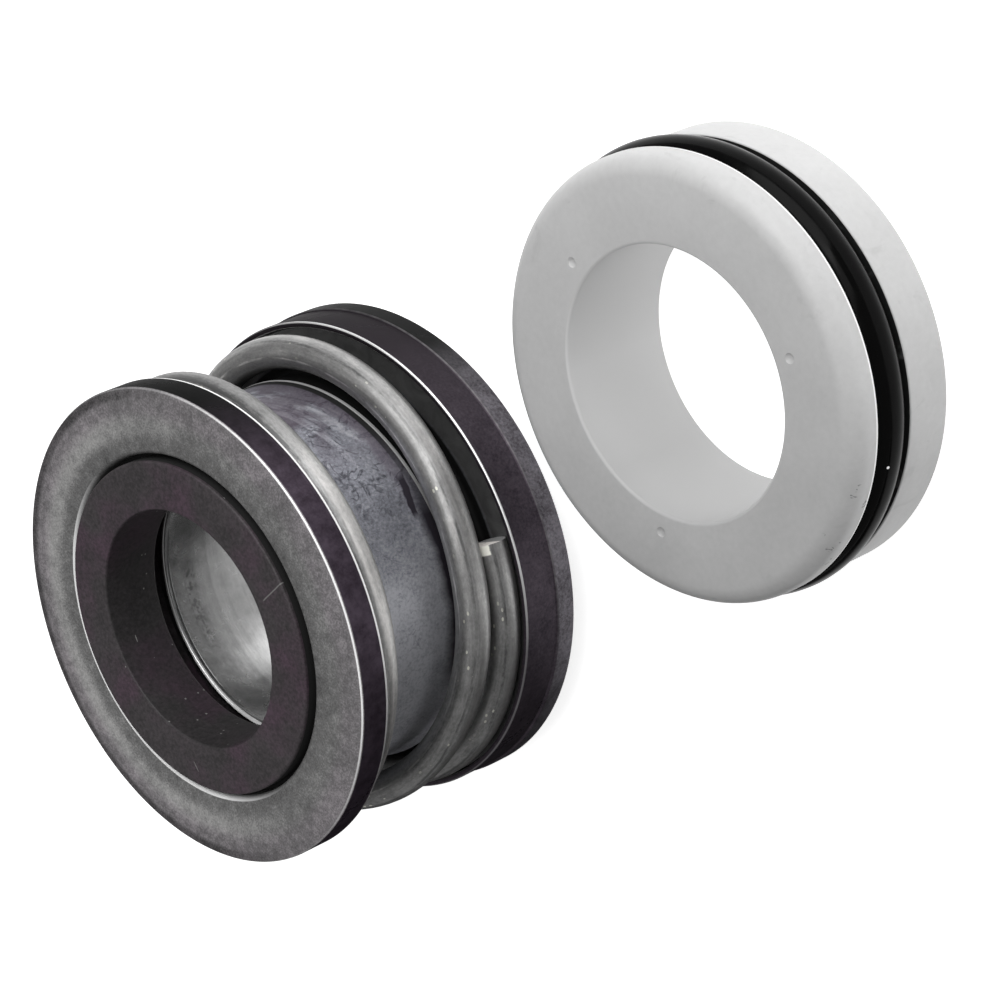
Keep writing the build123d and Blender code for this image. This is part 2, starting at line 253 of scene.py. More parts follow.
# %% Drive band
DRUM = 12.25
DRUM_FOOT = 12.6
band = turned_ring(
    "drive_band_drum",
    [(12.1, HEAD_TOP), (15.22, HEAD_TOP), (15.22, SPRING_LOW), (12.44, SPRING_LOW), (12.44, 8.84)]
    + [(DRUM_FOOT, 8.84), (DRUM_FOOT, 9.0), (DRUM, 10.4), (DRUM, 15.9), (11.75, 15.9), (11.75, 10.4), (12.1, 9.0)],
)
round_corner(band, (DRUM, 15.9), 0.3, 5)
round_corner(band, (DRUM, 10.4), 0.5, 6)
round_corner(band, (DRUM_FOOT, 9.0), 0.05, 3)
round_corner(band, (12.44, SPRING_LOW), 0.3, 4)
smooth(band)

# %% [markdown]
# ## The spring
# A compression spring with closed ends. Its lead changes along the wire, so neither a Screw modifier nor an
# array can make it. It is drawn instead as a curve: a table gives the height of the wire's centre at a few
# stations, the points between them are smoothed, and the curve gets a round bevel as thick as the wire.
# The coil is left-handed. Converting it to a mesh keeps the wire's own UV map, which runs along the wire
# and round it, for the drawing marks of the finish.

# %% Spring
WIRE = 2.15
CUP_COIL = 14.185
HOLDER_COIL = 13.945
SPRING_TURNS = 2.78
CUT_ANGLE = -12.7
LOW = SPRING_LOW + 0.02 + WIRE / 2
HIGH = 19.7 - WIRE / 2
CUP_LEAD = [(-1.0, 0), (0.55, 0), (0.83, 1.15), (0.93, 1.5), (0.98, 2.19), (1.06, 2.5), (1.17, 3.8)]
HOLDER_LEAD = [(1.85, 1.85), (2.0, 1.5), (2.083, 1.15), (2.2, 0.55), (2.38, 0), (4.0, 0)]
LEAD = [(turn, LOW + rise) for turn, rise in CUP_LEAD] + [(turn, HIGH - drop) for turn, drop in HOLDER_LEAD]
STATIONS_PER_TURN = 120


def wire_height(turn):
    def between(place):
        for (turn_a, z_a), (turn_b, z_b) in zip(LEAD, LEAD[1:]):
            if place <= turn_b:
                return z_a + (z_b - z_a) * (place - turn_a) / (turn_b - turn_a)
        return HIGH

    return sum(between(turn + 0.0125 * k) for k in range(-4, 5)) / 9


def coil_radius(turn):
    share = min(max((turn - 1.95) / 0.35, 0), 1)
    return CUP_COIL + (HOLDER_COIL - CUP_COIL) * share * share * (3 - 2 * share)


clear_selection()
bpy.ops.curve.primitive_nurbs_path_add(location=(0, 0, 0))
spring = bpy.context.object
spring.name = "coil_spring"
spring.data.splines.clear()
wire = spring.data.splines.new("POLY")
count = round(SPRING_TURNS * STATIONS_PER_TURN)
wire.points.add(count)
for k, point in enumerate(wire.points):
    turn = SPRING_TURNS * k / count
    angle = radians(CUT_ANGLE) - 2 * pi * turn
    radius = coil_radius(turn) * MM
    point.co = (radius * cos(angle), radius * sin(angle), wire_height(turn) * MM, 1)
spring.data.bevel_depth = WIRE / 2 * MM
spring.data.bevel_resolution = 14
spring.data.use_fill_caps = True
spring.data.twist_mode = "Z_UP"
bpy.ops.object.convert(target="MESH")
spring = bpy.context.object
edit(spring)
bpy.ops.mesh.select_all(action="SELECT")
bpy.ops.mesh.remove_doubles(threshold=0.001 * MM)
bpy.ops.mesh.normals_make_consistent(inside=False)
bpy.ops.object.mode_set(mode="OBJECT")
print("spring's map", [layer.name for layer in spring.data.uv_layers])
smooth(spring, 40)

# %% [markdown]
# ## The retainer cup
# A deep drawn cup. Its base band stands a little prouder than its rim band, which leaves one fine step line
# round the outside, and its rim is cut square and only just broken.

# %% Retainer cup
CUP = 15.85
RIM = 15.72
cup = turned_ring(
    "retainer_cup_drawn",
    [(12.4, 2.25), (CUP, 2.25), (CUP, 3.75), (RIM, 3.88), (RIM, 6.45), (CUP_INSIDE, 6.45), (CUP_INSIDE, 2.65), (12.4, 2.65)],
)
round_corner(cup, (CUP, 2.25), 0.35, 6)
round_corner(cup, (RIM, 6.45), 0.12, 3)
round_corner(cup, (CUP_INSIDE, 6.45), 0.12, 3)
smooth(cup)

# %% [markdown]
# ## The carbon ring
# The ring that seals against the seat: a nose with a lapped face and a chamfer, and a shoulder held in the
# cup. The head stands on it.

# %% Carbon ring
carbon = turned_ring(
    "carbon_face_ring",
    [(8.3, 0), (11.7, 0), (12.1, 0.4), (12.1, 2.65), (15.17, 2.65), (15.17, CARBON_TOP), (8.3, CARBON_TOP)],
)
round_corner(carbon, (8.3, 0), 0.15, 3)
smooth(carbon)

# %% [markdown]
# ## The ceramic seat
# A pressed and ground ring: a wide soft radius on the front edge, a square groove for the O-ring, and a
# land behind it. Three shallow dimples in the face come from the press's ejector pins. They are cut with
# small spheres and a Boolean modifier, which leaves the flat face flat.

# %% Ceramic seat
SEAT = 13.3
SEAT_FACE = 8.0
seat = turned_ring(
    "ceramic_seat",
    [(8.15, 0), (SEAT, 0), (SEAT, 3.34), (11.0, 3.34), (11.0, 6.1), (SEAT, 6.1), (SEAT, SEAT_FACE), (8.15, SEAT_FACE)],
    SEAT_AXIS,
)
for place, size, segments in [
    ((8.15, 0), 0.22, 4),
    ((SEAT, 0), 0.35, 5),
    ((SEAT, 3.34), 0.08, 3),
    ((SEAT, 6.1), 0.12, 4),
    ((SEAT, SEAT_FACE), 1.25, 12),
    ((8.15, SEAT_FACE), 0.22, 5),
]:
    round_corner(seat, place, size, segments, SEAT_AXIS)
DIMPLE_RING = 9.4
for k in range(3):
    angle = radians(-10.5 + 120 * k)
    spot = (SEAT_AXIS[0] + DIMPLE_RING * cos(angle), DIMPLE_RING * sin(angle), SEAT_FACE + 0.296)
    clear_selection()
    bpy.ops.mesh.primitive_uv_sphere_add(segments=32, ring_count=24, radius=0.436 * MM, location=Vector(spot) * MM)
    punch = bpy.context.object
    clear_selection()
    bpy.context.view_layer.objects.active = seat
    cut = seat.modifiers.new("dimple", "BOOLEAN")
    cut.operation = "DIFFERENCE"
    cut.solver = "EXACT"
    cut.object = punch
    bpy.ops.object.modifier_apply(modifier=cut.name)
    bpy.data.objects.remove(punch)
smooth(seat)

# %% [markdown]
# ## The O-ring
# A torus stretched into the groove.

# %% O-ring
clear_selection()
bpy.ops.mesh.primitive_torus_add(
    location=(SEAT_AXIS[0] * MM, 0, 4.72 * MM),
    major_radius=12.3 * MM,
    minor_radius=1.3 * MM,
    major_segments=ROUND_STEPS,
    minor_segments=40,
)
oring = bpy.context.object
oring.name = "seat_oring_rubber"
bpy.ops.object.transform_apply(location=True, rotation=False, scale=False)
smooth(oring, 60)

# %% [markdown]
# ## Which piece stands for which node
# Each piece replaces one node of the engineering model and moves with that node's body. The spring and the
# bellows run from the nose to the tail, so they are tied to neither body, and their place is baked into their
# meshes.

# %% Ride and replace
RIDES = [
    (holder, "spring_holder", "tail", "stamped_steel"),
    (sleeve, "inner_sleeve", "nose", "bright_steel"),
    (band, "drive_band", "nose", "drum_steel"),
    (cup, "retainer_cup", "nose", "drawn_steel"),
    (carbon, "carbon_ring", "nose", "carbon"),
    (seat, "seat_ring", "seat", "ceramic"),
    (oring, "seat_oring", "seat", "oring_rubber"),
    (spring, "spring", None, "spring_wire"),
    (bellows, "bellows", None, "rubber"),
]
for piece, node, body, slot in RIDES:
    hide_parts(node)
    if body:
        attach(piece, body)
    low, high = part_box(node)
    corners = [Vector(c) for c in piece.bound_box]
    print(
        node,
        [round((min(c[i] for c in corners) - low[i]) / MM, 3) for i in range(3)],
        [round((max(c[i] for c in corners) - high[i]) / MM, 3) for i in range(3)],
    )
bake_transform(spring)
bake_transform(bellows)

# %% [markdown]
# ## Finishes
# Every finish is made of nodes that read Object coordinates in metres, so the patterns sit on the pieces at
# their real scale. A small helper class keeps each recipe to one line a node: it adds a node, sets its
# values and links what is given as another node's socket. Most recipes add a few patterns up to one number
# and let a colour ramp turn that number into the tone of the metal.


# %% A short way to write node recipes
class Recipe:
    def __init__(self, name):
        self.material = bpy.data.materials.new(name)
        self.material.use_nodes = True
        self.tree = self.material.node_tree
        self.surface = self.tree.nodes["Principled BSDF"]
        self.places = self.add("ShaderNodeTexCoord").outputs["Object"]

    def add(self, kind, inputs=None, **settings):
        node = self.tree.nodes.new(kind)
        for key, value in settings.items():
            setattr(node, key, value)
        for key, value in (inputs or {}).items():
            self.give(node.inputs[key], value)
        return node

    def give(self, socket, value):
        if isinstance(value, bpy.types.NodeSocket):
            self.tree.links.new(value, socket)
        else:
            socket.default_value = value

    def set(self, **values):
        for key, value in values.items():
            self.give(self.surface.inputs[key.replace("_", " ")], value)

    def maths(self, operation, a, b=0.0, c=0.0):
        return self.add("ShaderNodeMath", {0: a, 1: b, 2: c}, operation=operation).outputs[0]

    def total(self, start, *parts):
        """start, plus each (pattern, weight) of parts."""
        for pattern, weight in parts:
            start = self.maths("MULTIPLY_ADD", pattern, weight, start)
        return start

    def noise(self, scale, detail=4.0, rough=0.55, places=None, distortion=0.0):
        node = self.add(
            "ShaderNodeTexNoise",
            {"Vector": places or self.places, "Scale": scale, "Detail": detail, "Roughness": rough, "Distortion": distortion},
        )
        return node.outputs["Fac"]

    def dots(self, scale, size, share, places=None):
        """1 on round specks, of a size in cells, in the given share of the cells."""
        cells = self.add("ShaderNodeTexVoronoi", {"Vector": places or self.places, "Scale": scale})
        chance = self.add("ShaderNodeSeparateColor", {0: cells.outputs["Color"]}).outputs[0]
        near = self.maths("LESS_THAN", cells.outputs["Distance"], size)
        return self.maths("MULTIPLY", near, self.maths("LESS_THAN", chance, share))

    def threads(self, scale, width, detail=2.0, places=None, distortion=0.0):
        """1 along thin wandering lines, where a noise passes through its middle."""
        off = self.maths("ABSOLUTE", self.maths("SUBTRACT", self.noise(scale, detail, 0.5, places, distortion), 0.5))
        return self.add("ShaderNodeMapRange", {0: off, 1: width * 0.3, 2: width, 3: 1.0, 4: 0.0}).outputs[0]

    def ramp(self, factor, *stops):
        node = self.add("ShaderNodeValToRGB", {"Fac": factor})
        points = node.color_ramp.elements
        while len(points) < len(stops):
            points.new(0.5)
        for point, (place, tone) in zip(points, stops):
            point.position = place
            point.color = tone if isinstance(tone, tuple) else (tone, tone, tone, 1)
        return node.outputs["Color"]

    def band(self, value, low, high, soft):
        """1 where value lies between low and high, falling to 0 over soft to each side."""
        up = self.add("ShaderNodeMapRange", {0: value, 1: low - soft, 2: low, 3: 0.0, 4: 1.0}).outputs[0]
        down = self.add("ShaderNodeMapRange", {0: value, 1: high, 2: high + soft, 3: 1.0, 4: 0.0}).outputs[0]
        return self.maths("MULTIPLY", up, down)

    def facing(self, angle, middle, reach, soft):
        """1 over a sector about the axis: its middle and reach in degrees, falling to 0 over soft."""
        turn = self.maths("WRAP", self.maths("SUBTRACT", angle, middle / 360), 0.5, -0.5)
        return self.band(turn, -reach / 360, reach / 360, soft / 360)

    def mix(self, factor, a, b, blend="MIX"):
        node = self.add("ShaderNodeMix", data_type="RGBA", blend_type=blend)
        self.give(node.inputs["Factor"], factor)
        self.give(node.inputs[6], a)
        self.give(node.inputs[7], b)
        return node.outputs[2]

    def bump(self, height, strength, distance, under=None):
        node = self.add("ShaderNodeBump", {"Height": height, "Strength": strength, "Distance": distance})
        if under:
            self.give(node.inputs["Normal"], under)
        return node.outputs["Normal"]

    def around(self, axis=HEAD_AXIS):
        """(radius, angle, height) about an axis, in metres and turns."""
        moved = self.add(
            "ShaderNodeMapping", {"Vector": self.places, "Location": (-axis[0] * MM, -axis[1] * MM, 0)}
        ).outputs[0]
        parts = self.add("ShaderNodeSeparateXYZ", {0: moved})
        flat = self.add("ShaderNodeCombineXYZ", {"X": parts.outputs["X"], "Y": parts.outputs["Y"]}).outputs[0]
        radius = self.add("ShaderNodeVectorMath", {0: flat}, operation="LENGTH").outputs["Value"]
        angle = self.maths("ARCTAN2", parts.outputs["Y"], parts.outputs["X"])
        return radius, self.maths("DIVIDE", angle, 2 * pi), parts.outputs["Z"]

    def onto(self, *pieces):
        for piece in pieces:
            piece.data.materials.clear()
            piece.data.materials.append(self.material)
        return self.material


def grey(tone, warm=0.0):
    return (tone * (1 + warm), tone, tone * (1 - warm), 1)


# %% [markdown]
# Pressed steel that has been tumbled: a matt grey with a salt-and-pepper grain of about a tenth of a
# millimetre and a purplish bloom towards the outside. The crown carries a painted highlight on one side, and
# the face is painted darker near the hole and at its outer edge on that side, as painted shade. Three
# painted highlights run as bright lines, the lip of the hole, the outer corner and the free edge of the wall,
# each strongest on one side. The wall between them is painted a dark smoky purple that stands in for its dark
# reflections, and near black on its top side as painted shade.

# %% Spring holder's finish
steel = Recipe("tumbled_steel")
radius, angle, height = steel.around()
mottle = steel.noise(1500, 4, 0.6)
grain = steel.noise(7500, 2, 0.7)
clouds = steel.noise(380, 3, 0.6)
# The crown carries a painted highlight on one side, and the face is painted darker near the hole and, on that side, at
# its outer edge, as painted shade.
crown = steel.band(radius, 0.0129, 0.0136, 0.0007)
crown_highlight = steel.maths("MULTIPLY", crown, steel.facing(angle, 165, 75, 45))
shade_near_hole = steel.band(radius, 0.0110, 0.0119, 0.0009)
shaded = steel.maths("MULTIPLY", steel.band(radius, 0.0150, 0.0156, 0.0003), steel.facing(angle, 165, 75, 30))
shade = steel.total(-0.48, (mottle, 0.55), (grain, 0.95), (clouds, 0.5), (crown_highlight, 0.26), (shade_near_hole, -0.1), (shaded, -0.42))
tone = steel.ramp(shade, (0.0, grey(0.09, 0.01)), (0.5, grey(0.27, 0.005)), (1.0, grey(0.6, 0.01)))
bloom = steel.maths("MULTIPLY", steel.band(radius, 0.0141, 0.0156, 0.0008), clouds)
tone = steel.mix(bloom, tone, (1.03, 0.94, 1.02, 1), "MULTIPLY")
# The wall is painted a dark smoky purple that stands in for its dark reflections, and near black on its top side as
# painted shade.
side = steel.band(radius, 0.01545, 0.0156, 0.00002)
wall = steel.maths("MULTIPLY", side, steel.band(height, 0.0182, 0.01996, 0.00004))
smoky_and_shade = steel.ramp(steel.noise(1100, 4, 0.7), (0.3, (0.035, 0.026, 0.036, 1)), (0.7, (0.085, 0.066, 0.088, 1)))
smoky_and_shade = steel.mix(steel.facing(angle, 100, 50, 35), smoky_and_shade, grey(0.006))
tone = steel.mix(wall, tone, smoky_and_shade)
# The outer corner, the free edge of the wall and the lip of the hole are painted as near-white lines, each strongest
# on one side: painted highlights.
corner = steel.maths("MULTIPLY", steel.band(radius, 0.01541, 0.0156, 0.00002), steel.band(height, 0.02006, 0.0204, 0.00003))
corner = steel.maths("MULTIPLY", corner, steel.total(0.15, (steel.facing(angle, -8, 28, 42), 0.85)))
edge = steel.maths("MULTIPLY", side, steel.band(height, 0.0179, 0.01818, 0.00003))
edge = steel.maths("MULTIPLY", edge, steel.total(0.1, (steel.facing(angle, 50, 65, 50), 0.9)))
lip = steel.maths("MULTIPLY", steel.band(radius, 0.0110, 0.01144, 0.00003), steel.band(height, 0.0196, 0.0204, 0.0001))
lip = steel.maths("MULTIPLY", lip, steel.facing(angle, 190, 55, 35))
line = steel.maths("MAXIMUM", steel.maths("MAXIMUM", corner, edge), lip)
tone = steel.mix(line, tone, grey(0.95))
steel.set(
    Base_Color=tone,
    Metallic=steel.total(0.8, (line, -0.7)),
    Roughness=steel.total(0.62, (line, -0.3), (wall, -0.14)),
    Specular_Tint=grey(0.3),
    Normal=steel.bump(grain, 0.3, 0.00002, steel.bump(mottle, 0.3, 0.00003)),
)
steel.onto(holder)

# %% [markdown]
# Moulded rubber: nearly black with a purple-brown cast, matt, with a fine moulding grain, dust specks and a
# few hair scratches where the seal has been handled. The bore is painted darker as painted shade, and the
# tail's side in the gap round it is painted near black as painted shade.

# %% Rubber
rubber = Recipe("moulded_rubber")
radius, angle, height = rubber.around()
grain = rubber.noise(4200, 3, 0.7)
shade = rubber.total(-1.35, (rubber.noise(450, 4), 1.1), (grain, 2.6))
tone = rubber.ramp(shade, (0.0, (0.015, 0.0125, 0.0135, 1)), (1.0, (0.052, 0.043, 0.048, 1)))
cast = rubber.ramp(rubber.noise(230, 2), (0.42, 0.0), (0.62, 1.0))
tone = rubber.mix(cast, tone, (1.25, 0.86, 1.16, 1), "MULTIPLY")
# The bore is painted darker as painted shade.
bore = rubber.band(radius, 0.0070, 0.00782, 0.00003)
# The tail's side in the gap round it is painted near black as painted shade.
shaded_flank = rubber.maths("MULTIPLY", rubber.band(radius, 0.01082, 0.0120, 0.00003), rubber.band(height, 0.0160, 0.02014, 0.00004))
tone = rubber.mix(bore, tone, (0.66, 0.7, 0.67, 1), "MULTIPLY")
tone = rubber.mix(shaded_flank, tone, grey(0.004))
dust = rubber.maths("MAXIMUM", rubber.dots(1000, 0.075, 0.16), rubber.maths("MULTIPLY", bore, rubber.dots(1900, 0.12, 0.22)))
tilted = rubber.add("ShaderNodeMapping", {"Vector": rubber.places, "Rotation": (0.2, 0.1, 0.9), "Scale": (1, 0.09, 1)}).outputs[0]
hairs = rubber.dots(1300, 0.055, 0.07, tilted)
marks = rubber.maths("MULTIPLY", rubber.maths("MAXIMUM", dust, hairs), rubber.maths("SUBTRACT", 1.0, shaded_flank))
tone = rubber.mix(marks, tone, grey(0.19, 0.02))
from_start = rubber.add("ShaderNodeVectorMath", {0: rubber.places, 1: (0.00871, -0.00063, 0.0204)}, operation="SUBTRACT").outputs[0]
along = rubber.add("ShaderNodeVectorMath", {0: from_start, 1: (0.984, 0.177, 0.0)}, operation="DOT_PRODUCT").outputs["Value"]
aside = rubber.add("ShaderNodeVectorMath", {0: from_start, 1: (-0.177, 0.984, 0.0)}, operation="DOT_PRODUCT").outputs["Value"]
aside = rubber.total(-0.00006, (rubber.noise(700, 2), 0.00012), (aside, 1.0))
scratch = rubber.maths("MULTIPLY", rubber.band(along, 0.0, 0.0023, 0.0002), rubber.band(aside, -0.00002, 0.00002, 0.00003))
tone = rubber.mix(rubber.maths("MULTIPLY", scratch, rubber.band(height, 0.0202, 0.0210, 0.0001)), tone, grey(0.16, 0.02))
rubber.set(Base_Color=tone, Roughness=rubber.total(0.58, (shaded_flank, 0.3)), Normal=rubber.bump(grain, 0.35, 0.00002))
rubber.onto(bellows)

# %% [markdown]
# The sleeve is drawn steel with a satin inside: faint rings from the draw, a little staining, a column of dark
# specks on one side, and a dark rolled edge that carries a thin painted highlight, strongest on one side.

# %% Bright sleeve
silver = Recipe("satin_sleeve")
radius, angle, height = silver.around()
rings = silver.noise(2500, 2, 0.5, silver.add("ShaderNodeCombineXYZ", {"X": height, "Y": radius}).outputs[0])
blotches = silver.noise(700, 5, 0.7)
rolled = silver.band(height, 0.0141, 0.0149, 0.00005)
specks = silver.ramp(silver.noise(3000, 3, 0.6), (0.48, 0.0), (0.58, 1.0))
specks = silver.maths("MULTIPLY", specks, silver.maths("MULTIPLY", silver.facing(angle, 170, 13, 7), silver.band(height, 0.0125, 0.0130, 0.0004)))
shade = silver.total(-0.28, (rings, 0.5), (blotches, 1.0), (rolled, -0.45), (specks, -0.35))
# The thin bright line on the rolled edge is a painted highlight, strongest on one side.
edge_highlight = silver.maths("MULTIPLY", silver.band(radius, 0.0088, 0.00902, 0.00003), silver.band(height, 0.01456, 0.0149, 0.00004))
edge_highlight = silver.maths("MULTIPLY", edge_highlight, silver.total(0.12, (silver.facing(angle, -125, 35, 50), 0.88)))
silver.set(
    Base_Color=silver.mix(edge_highlight, silver.ramp(shade, (0.0, grey(0.28)), (1.0, grey(0.78))), grey(0.9)),
    Metallic=silver.total(1.0, (edge_highlight, -0.8)),
    Roughness=silver.total(0.2, (blotches, 0.12), (rolled, -0.08)),
    Normal=silver.bump(rings, 0.1, 0.00002, silver.bump(blotches, 0.2, 0.00003)),
)
silver.onto(sleeve)

# %% [markdown]
# The drum is dull blue-grey steel. Wandering scuffs lie thickest where the coil hides it least, it is darker
# purple in patches near its top and along its rear edge, and fine dark pits cover it. One side is painted
# lighter as painted light. Its lip carries a painted highlight line beside a painted dark line in the groove,
# a painted shadow of the coil lies low on one side, and the foot and the flange behind the lip are painted
# black and dark grey as painted shade.

# %% Drum
drum = Recipe("scuffed_drum")
radius, angle, height = drum.around()
swirl = drum.noise(520, 6, 0.65, distortion=1.2)
pits = drum.noise(5200, 2, 0.65)
swept = drum.add("ShaderNodeCombineXYZ", {"X": drum.maths("MULTIPLY", angle, 0.016), "Y": height, "Z": radius}).outputs[0]
strokes = drum.maths("MULTIPLY", drum.threads(620, 0.05, 2, distortion=1.6), drum.ramp(drum.noise(1150, 1), (0.46, 0.0), (0.56, 1.0)))
scuffs = drum.maths("MULTIPLY", strokes, drum.facing(angle, 32, 18, 18))
sweeps = drum.maths("MULTIPLY", drum.threads(330, 0.06, 2, swept, 1.6), drum.facing(angle, 56, 24, 18))
swirls = drum.maths("MULTIPLY", drum.threads(240, 0.045, 2, swept, 2.4), drum.facing(angle, 60, 20, 14))
scratches = drum.maths("MULTIPLY", drum.threads(700, 0.02, 2, distortion=1.2), drum.band(height, 0.0122, 0.0134, 0.0010))
# The first term of this sum paints one side of the drum lighter, as painted light.
shade = drum.total(
    -0.44, (drum.facing(angle, -45, 25, 25), 0.42), (swirl, 0.85), (pits, 1.0), (scuffs, -0.42), (sweeps, 0.3), (swirls, -0.3), (scratches, -0.2)
)
tone = drum.ramp(shade, (0.0, (0.08, 0.08, 0.095, 1)), (0.5, (0.26, 0.265, 0.3, 1)), (1.0, (0.5, 0.505, 0.54, 1)))
# These make the drum darker purple in patches near its top and along its rear edge.
blotches = drum.maths("MULTIPLY", drum.facing(angle, 66, 24, 22), drum.ramp(drum.noise(260, 3, distortion=0.8), (0.4, 0.0), (0.52, 1.0)))
uneven = drum.total(-0.0005, (drum.noise(340, 3, 0.6), 0.0010), (height, 1.0))
rear = drum.maths("MULTIPLY", drum.facing(angle, 46, 26, 20), drum.band(uneven, 0.0086, 0.0100, 0.0005))
tone = drum.mix(drum.maths("MULTIPLY", drum.maths("MAXIMUM", blotches, rear), 0.72), tone, (0.1, 0.08, 0.105, 1))
leaning = drum.total(0.0, (uneven, 1.0), (drum.facing(angle, 0, 2, 16), -0.0004))
smear = drum.maths("MULTIPLY", drum.facing(angle, 7, 5, 2.5), drum.band(leaning, 0.00946, 0.00982, 0.0001))
# A dark band low on one side is a painted shadow of the coil.
coil_shadow = drum.maths("MULTIPLY", drum.facing(angle, -22, 22, 12), drum.band(uneven, 0.0086, 0.0095, 0.0007))
tone = drum.mix(drum.maths("MAXIMUM", smear, coil_shadow), tone, (0.035, 0.03, 0.04, 1))
# The bright line on the lip is a painted highlight, and the dark line in the groove beside it is painted shade.
lip = drum.maths("MULTIPLY", drum.band(radius, 0.01252, 0.0127, 0.00002), drum.band(height, 0.00886, 0.00906, 0.00003))
lip = drum.maths("MULTIPLY", lip, drum.facing(angle, 60, 45, 35))
groove = drum.maths("MULTIPLY", drum.band(height, 0.00908, 0.0094, 0.00008), drum.facing(angle, 80, 50, 30))
# The foot is painted black as painted shade under the coil.
foot = drum.maths("MULTIPLY", drum.band(height, 0.0050, 0.00882, 0.00003), drum.band(radius, 0.0120, 0.0131, 0.0003))
tone = drum.mix(groove, tone, grey(0.03))
tone = drum.mix(lip, tone, grey(0.8))
tone = drum.mix(foot, tone, grey(0.012))
# The flange is painted dark grey as painted shade under the coil.
flange = drum.band(radius, 0.0134, 0.0160, 0.0003)
tone = drum.mix(flange, tone, drum.ramp(swirl, (0.3, grey(0.12)), (0.7, grey(0.2))))
drum.set(Base_Color=tone, Metallic=0.75, Roughness=drum.total(0.42, (swirl, 0.2), (foot, 0.2)))
drum.set(Normal=drum.bump(swirl, 0.25, 0.00003, drum.bump(pits, 0.2, 0.00001)))
drum.onto(band)

# %% [markdown]
# Drawn wire is matt and speckled, with streaks that run along it. The wire's UV map gives the place along it
# and round it. Wrapping the second number round a circle keeps the pattern whole across the map's seam, and
# stretching the first one draws the streaks out. Lighter bands at fixed places round the wire are painted
# highlights and a darker one is a painted dark line, all broken up by noise. The turns near the holder are
# painted lighter on one side and darker on another and just under the holder's wall, and the lower side of
# the other turns is painted darker, all as painted light and shade.

# %% Spring wire
drawn = Recipe("drawn_wire")
along = drawn.add("ShaderNodeSeparateXYZ", {0: drawn.add("ShaderNodeTexCoord").outputs["UV"]})
turn = drawn.maths("MULTIPLY", along.outputs["Y"], 2 * pi)
outward = drawn.maths("WRAP", along.outputs["Y"], 0.75, -0.25)


def wire_places(stretch):
    length = 2 * pi * CUP_COIL * SPRING_TURNS * MM
    across = WIRE / 2 * MM
    run = drawn.maths("MULTIPLY", along.outputs["X"], length / stretch)
    up = drawn.maths("MULTIPLY", drawn.maths("SINE", turn), across)
    out = drawn.maths("MULTIPLY", drawn.maths("COSINE", turn), across)
    return drawn.add("ShaderNodeCombineXYZ", {"X": run, "Y": up, "Z": out}).outputs[0]


streaks = drawn.noise(2600, 3, 0.55, wire_places(16))
speckle = drawn.noise(7000, 2, 0.7, wire_places(2))
mottle = drawn.noise(700, 4, 0.6)
# Lighter bands at fixed places round the wire below are painted highlights and a darker one is a painted dark line,
# all broken up by this noise.
highlight_breakup = drawn.ramp(drawn.noise(2200, 3, 0.65, wire_places(7)), (0.42, 0.0), (0.6, 1.0))
crest_highlight = drawn.maths("MULTIPLY", drawn.band(outward, 0.12, 0.2, 0.06), highlight_breakup)
shade_line = drawn.maths("MULTIPLY", drawn.band(outward, 0.058, 0.072, 0.012), drawn.maths("SUBTRACT", 1.1, highlight_breakup))
thin_highlight = drawn.maths("MULTIPLY", drawn.band(outward, 0.228, 0.238, 0.009), highlight_breakup)
pale = drawn.band(outward, -0.062, 0.015, 0.015)
radius, angle, height = drawn.around()
# The turns near the holder are painted lighter on one side and darker on another, and darker again just under the
# holder's wall; the lower side of the other turns is painted darker. All of it is painted light and shade.
front = drawn.band(height, 0.0165, 0.0200, 0.0015)
front_lit = drawn.maths("MULTIPLY", front, drawn.facing(angle, -15, 35, 40))
front_shade = drawn.maths("MULTIPLY", front, drawn.facing(angle, 95, 55, 35))
front_highlight = drawn.maths("MULTIPLY", drawn.maths("MULTIPLY", front, highlight_breakup), drawn.band(outward, 0.095, 0.12, 0.02))
tucked_shade = drawn.band(height, 0.0176, 0.0190, 0.0003)
under = drawn.maths("MULTIPLY", drawn.facing(angle, -85, 35, 25), drawn.maths("SUBTRACT", 1.0, front))
shade = drawn.total(-0.24, (streaks, 0.42), (speckle, 0.45), (mottle, 0.35), (crest_highlight, 0.12), (shade_line, -0.24), (pale, 0.14), (thin_highlight, 0.42))
shade = drawn.total(shade, (front_lit, 0.3), (front_highlight, 0.4), (front_shade, -0.36), (under, -0.14), (tucked_shade, -0.35))
tone = drawn.ramp(shade, (0.0, grey(0.11, 0.0)), (0.5, grey(0.36, 0.008)), (1.0, grey(0.8, 0.02)))
# The cream flecks lie along the painted highlight band: specks on the wire that also stand in for painted glints.
flecks_and_glints = drawn.maths("MULTIPLY", drawn.dots(3600, 0.26, 0.2, wire_places(1.8)), drawn.band(outward, 0.09, 0.19, 0.03))
flecks_and_glints = drawn.maths("MULTIPLY", flecks_and_glints, drawn.ramp(drawn.noise(300, 2), (0.42, 0.0), (0.56, 0.85)))
tone = drawn.mix(flecks_and_glints, tone, (0.8, 0.79, 0.7, 1))
bare_tip = drawn.maths("MULTIPLY", drawn.band(along.outputs["X"], -1.0, 0.0023, 0.0003), drawn.band(outward, 0.095, 0.34, 0.01))
bare_tip = drawn.maths("MULTIPLY", bare_tip, drawn.ramp(drawn.noise(2600, 2), (0.32, 0.0), (0.4, 1.0)))
tone = drawn.mix(bare_tip, tone, (0.95, 0.94, 0.85, 1))
drawn.set(Base_Color=tone, Metallic=drawn.total(0.85, (bare_tip, -0.75)), Roughness=0.43)
drawn.set(Normal=drawn.bump(streaks, 0.12, 0.00002, drawn.bump(speckle, 0.15, 0.00001)))
drawn.onto(spring)

# %% [markdown]
# The cut ends of the wire are bare bright metal with a darker core where the shear broke through.

